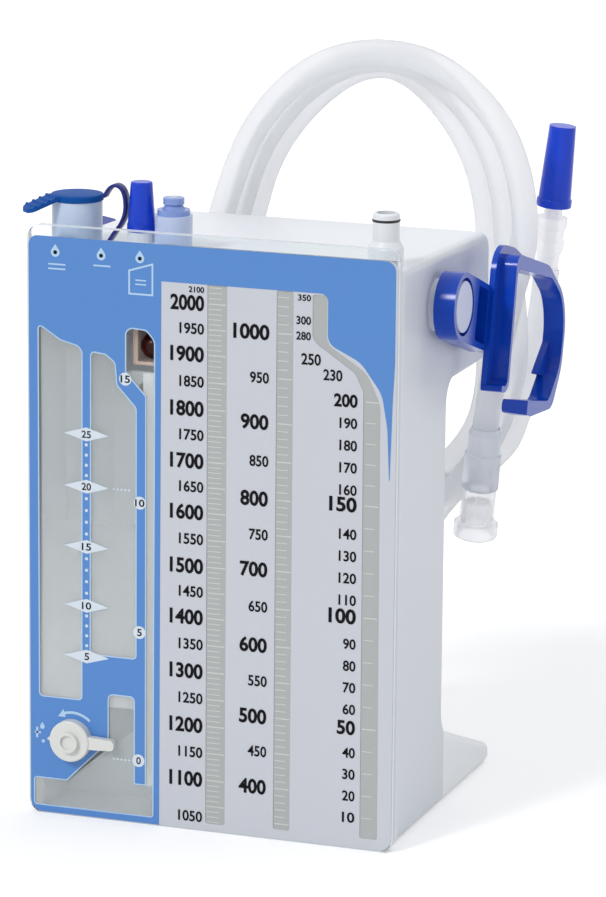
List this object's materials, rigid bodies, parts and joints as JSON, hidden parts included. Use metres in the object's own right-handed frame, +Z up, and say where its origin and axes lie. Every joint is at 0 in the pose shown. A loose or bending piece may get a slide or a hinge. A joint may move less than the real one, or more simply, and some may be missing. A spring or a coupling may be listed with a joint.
{
  "type": "chest drainage unit",
  "caption": "Chest drainage unit: white three-chamber casing behind a clear printed front plate, with bed-rail hangers, ports, caps, a tap and a coil of patient tube.",
  "frame": {"origin": "on the floor under the middle of the width, at the middle of the foot's depth", "axes": "+X to the right as the user faces the front plate, +Y to the back, +Z up"},
  "size_m": [0.209, 0.215, 0.3305],
  "materials": {
    "casing_white": "satin moulded plastic",
    "clear_plate": "clear, glossy",
    "label_film": "printed film, blue and pale grey",
    "tap_white": "satin",
    "seal_black": "matt",
    "ball_red": "glossy",
    "cage_clear": "clear",
    "lid_blue": "satin",
    "strap_blue": "satin",
    "hanger_blue": "glossy",
    "valve_blue": "glossy",
    "stem_grey": "soft, matt",
    "tube_clear": "clear soft tube, glossy",
    "cuff_clear": "frosted soft plastic",
    "connector_clear": "clear hard plastic, glossy"
  },
  "bodies": {
    "unit": {"body_shell": "casing_white", "front_plate": "clear_plate", "front_label": "label_film", "lid_strap": "strap_blue", "valve_body": "valve_blue", "patient_port": "casing_white", "port_ring": "seal_black", "float_cage": "cage_clear", "pivot_pin_right": "casing_white", "pivot_pin_left": "casing_white", "tube_coil": "tube_clear", "patient_tail": "tube_clear", "unit_tail": "tube_clear", "tube_cuff": "cuff_clear", "unit_connector": "connector_clear", "step_connector": "connector_clear"},
    "tap": {"tap_knob": "tap_white", "tap_seal": "seal_black"},
    "lid": {"suction_lid": "lid_blue"},
    "port_cap": {"vacuum_cap": "hanger_blue"},
    "stem": {"valve_stem": "stem_grey"},
    "ball": {"float_ball": "ball_red"},
    "right_hanger": {"hanger_right": "hanger_blue"},
    "left_hanger": {"hanger_left": "hanger_blue"},
    "end_cap": {"connector_cap": "hanger_blue"}
  },
  "joints": [
    {"name": "tap_turn", "type": "hinge", "parent": "unit", "child": "tap", "pos_m": [-0.0642, -0.075, 0.0355], "axis": [0, -1, 0], "range_deg": [0, 90]},
    {"name": "lid_flip", "type": "hinge", "parent": "unit", "child": "lid", "pos_m": [-0.05805, -0.055, 0.2759], "axis": [0, 1, 0], "range_deg": [0, 100]},
    {"name": "vacuum_cap_pull", "type": "slide", "parent": "unit", "child": "port_cap", "axis": [0, 0, 1], "range_m": [0, 0.022]},
    {"name": "stem_press", "type": "slide", "parent": "unit", "child": "stem", "axis": [0, 0, -1], "range_m": [0, 0.004], "stiffness_N_per_m": 150},
    {"name": "float_rise", "type": "slide", "parent": "unit", "child": "ball", "axis": [0, 0, 1], "range_m": [0, 0.006]},
    {"name": "right_hanger_swing", "type": "hinge", "parent": "unit", "child": "right_hanger", "pos_m": [0.09, -0.0163, 0.2308], "axis": [1, 0, 0], "range_deg": [-75, 30]},
    {"name": "left_hanger_swing", "type": "hinge", "parent": "unit", "child": "left_hanger", "pos_m": [-0.09, -0.0163, 0.2308], "axis": [1, 0, 0], "range_deg": [-75, 30]},
    {"name": "end_cap_pull", "type": "slide", "parent": "unit", "child": "end_cap", "axis": [0.0944, 0, 0.9955], "range_m": [0, 0.022]}
  ]
}
